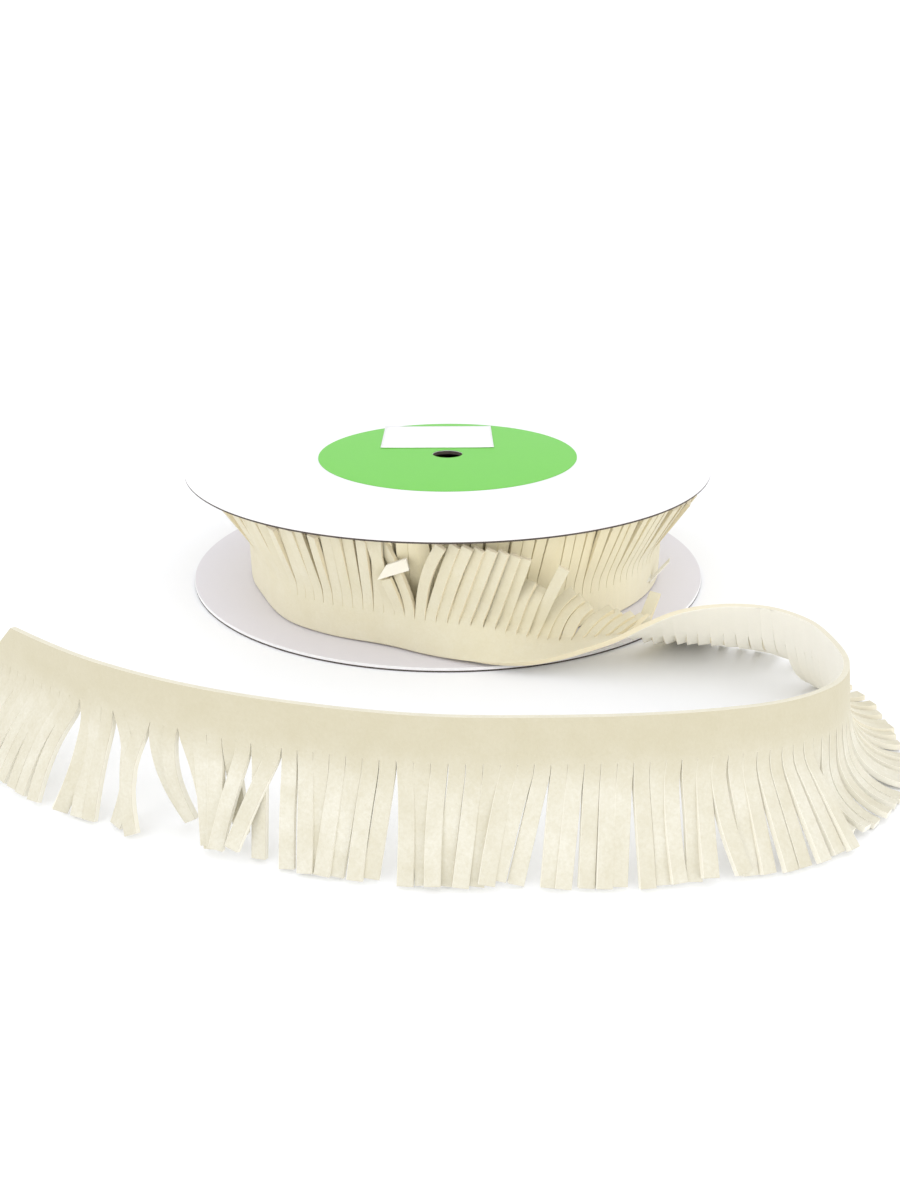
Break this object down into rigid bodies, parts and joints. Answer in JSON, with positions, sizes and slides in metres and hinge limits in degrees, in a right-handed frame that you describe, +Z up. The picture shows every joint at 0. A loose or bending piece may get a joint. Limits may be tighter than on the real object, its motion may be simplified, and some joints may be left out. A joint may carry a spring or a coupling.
{
  "type": "suede fringe trim on a reel",
  "caption": "Cream suede fringe trim wound on a flat card reel, its loose end twisted once, looped round and standing on its strands in front.",
  "frame": {"origin": "middle of the whole footprint, on the surface the reel and the fringe stand on", "axes": "+Z up along the reel's axis; +Y from the loose front run back towards the reel; +X to the right of a viewer who faces the loose run"},
  "size_m": [0.1688, 0.1982, 0.0298],
  "materials": {
    "suede": "soft napped cream suede, matt",
    "card": "smooth white paper facing with a grey cut edge",
    "core_card": "plain grey card tube",
    "label": "satin printed green paper",
    "sticker": "smooth white paper"
  },
  "bodies": {
    "root": {"flange_lower": "card", "flange_upper": "card", "core": "core_card", "label": "label", "sticker": "sticker", "wound_roll": "suede", "wound_fringe": "suede", "loose_band": "suede", "loose_fringe_01": "suede", "loose_fringe_02": "suede", "loose_fringe_03": "suede", "loose_fringe_04": "suede", "loose_fringe_05": "suede", "loose_fringe_06": "suede", "loose_fringe_07": "suede", "loose_fringe_08": "suede", "loose_fringe_09": "suede", "loose_fringe_10": "suede"}
  },
  "joints": []
}
